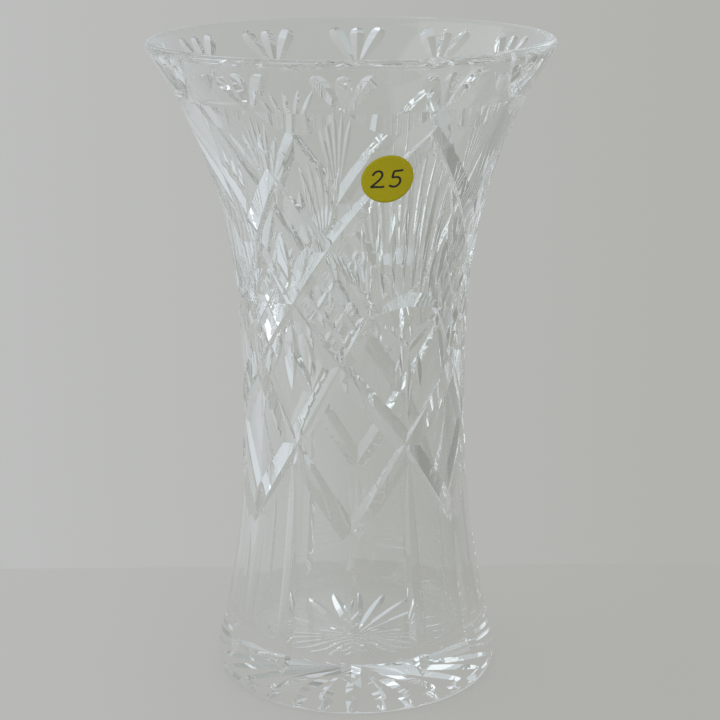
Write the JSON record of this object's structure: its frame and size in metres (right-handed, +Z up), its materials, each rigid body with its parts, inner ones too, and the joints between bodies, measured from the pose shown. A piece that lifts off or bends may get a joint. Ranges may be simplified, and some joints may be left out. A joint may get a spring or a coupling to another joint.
{
  "type": "cut crystal vase",
  "caption": "Flared clear glass vase with a waisted body, a wheel-cut pattern all round, a star-cut base and a round paper sticker on the wall.",
  "frame": {"origin": "middle of the flat base, on the surface the vase stands on", "axes": "+Z up along the vase's axis; -Y faces the viewer, where the middle of an eye panel is"},
  "size_m": [0.153, 0.153, 0.2499],
  "materials": {
    "crystal": "clear polished cut crystal",
    "sticker_paper": "matt coated paper"
  },
  "bodies": {
    "root": {"vase_body": "crystal", "price_sticker": "sticker_paper"}
  },
  "joints": []
}
